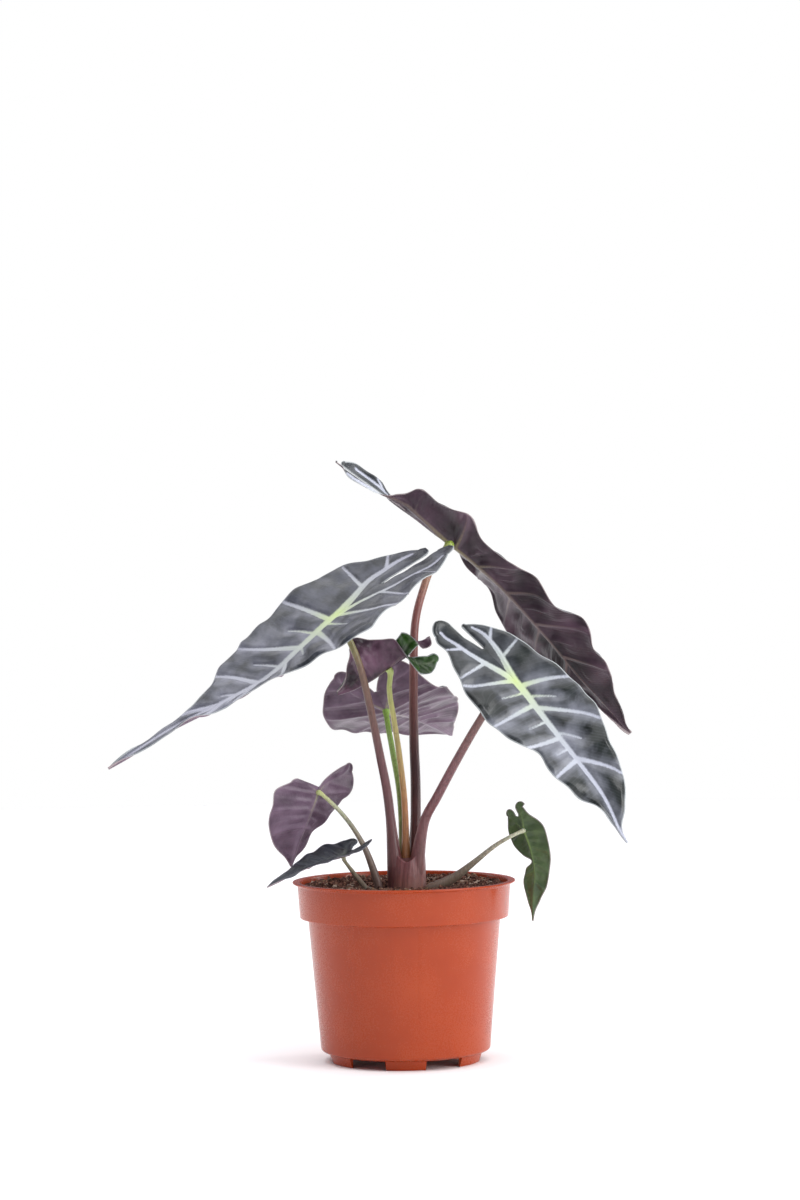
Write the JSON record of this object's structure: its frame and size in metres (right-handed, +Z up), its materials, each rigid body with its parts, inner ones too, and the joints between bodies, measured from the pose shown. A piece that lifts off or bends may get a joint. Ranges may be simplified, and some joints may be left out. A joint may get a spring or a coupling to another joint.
{
  "type": "potted alocasia",
  "caption": "Potted alocasia: arrow-shaped leaves on fleshy stalks, a sheathed stem base and soil in a flared, footed nursery pot.",
  "frame": {"origin": "centre of the pot's base, in the plane that its feet stand on", "axes": "+Z up along the pot's axis, -Y towards the front, +X to the right seen from the front"},
  "size_m": [0.2811, 0.1813, 0.3241],
  "materials": {
    "pot_plastic": "semi-gloss moulded terracotta-coloured polypropylene",
    "soil": "matt fibrous peat and coir",
    "sheath": "satin mauve-brown leaf sheath",
    "stalk": "satin fleshy stalk, mauve-brown to green",
    "leaf": "waxy dark green above with silver veins, mauve below"
  },
  "bodies": {
    "root": {"pot": "pot_plastic", "potting_soil": "soil", "stem_base": "sheath", "stalk_a": "stalk", "leaf_a": "leaf", "stalk_b": "stalk", "leaf_b": "leaf", "stalk_c": "stalk", "leaf_c": "leaf", "stalk_d": "stalk", "leaf_d": "leaf", "stalk_e": "stalk", "leaf_e": "leaf", "stalk_f": "stalk", "leaf_f": "leaf", "stalk_g": "stalk", "leaf_g": "leaf", "stalk_h": "stalk", "leaf_h": "leaf"}
  },
  "joints": []
}
